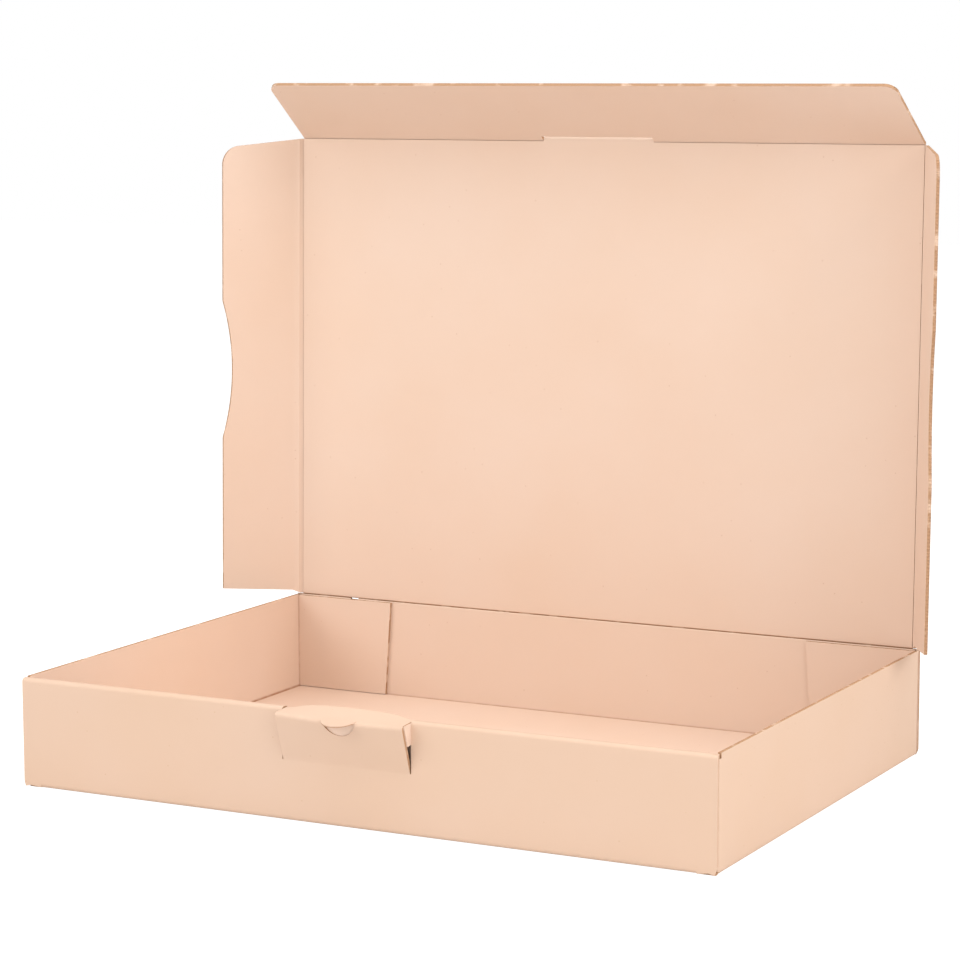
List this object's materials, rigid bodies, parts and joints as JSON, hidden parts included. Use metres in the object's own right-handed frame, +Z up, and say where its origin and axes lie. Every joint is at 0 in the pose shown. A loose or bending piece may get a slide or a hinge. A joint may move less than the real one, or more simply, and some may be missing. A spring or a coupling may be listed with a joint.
{
  "type": "mailer box",
  "caption": "Shallow rectangular mailer box of thin corrugated card, standing open, with a hinged lid, two side flaps, a slotted tuck flap and a pop-out lock in the front wall.",
  "frame": {"origin": "middle of the tray's flat underside", "axes": "+X to the right along the tray's length, +Y towards the hinged back wall, +Z up out of the tray"},
  "size_m": [0.394, 0.2694, 0.3236],
  "materials": {
    "kraft_board": "matt, uncoated"
  },
  "bodies": {
    "tray": {"folded_tray": "kraft_board"},
    "lid": {"lid_panel": "kraft_board"},
    "left_side_flap": {"left_flap": "kraft_board"},
    "right_side_flap": {"right_flap": "kraft_board"},
    "tuck": {"tuck_flap": "kraft_board"}
  },
  "joints": [
    {"name": "lid_hinge", "type": "hinge", "parent": "tray", "child": "lid", "pos_m": [0, 0.1242, 0.0528], "axis": [1, 0, 0], "range_deg": [-90, 17]},
    {"name": "left_flap_fold", "type": "hinge", "parent": "lid", "child": "left_side_flap", "pos_m": [-0.1723, 0.1242, 0.0528], "axis": [0, 0.0244, 0.9997], "range_deg": [-50, 40]},
    {"name": "right_flap_fold", "type": "hinge", "parent": "lid", "child": "right_side_flap", "pos_m": [0.1723, 0.1242, 0.0528], "axis": [0, -0.0244, -0.9997], "range_deg": [-64, 26]},
    {"name": "tuck_flap_fold", "type": "hinge", "parent": "lid", "child": "tuck", "pos_m": [0, 0.13012, 0.29513], "axis": [1, 0, 0], "range_deg": [-56, 36]}
  ]
}
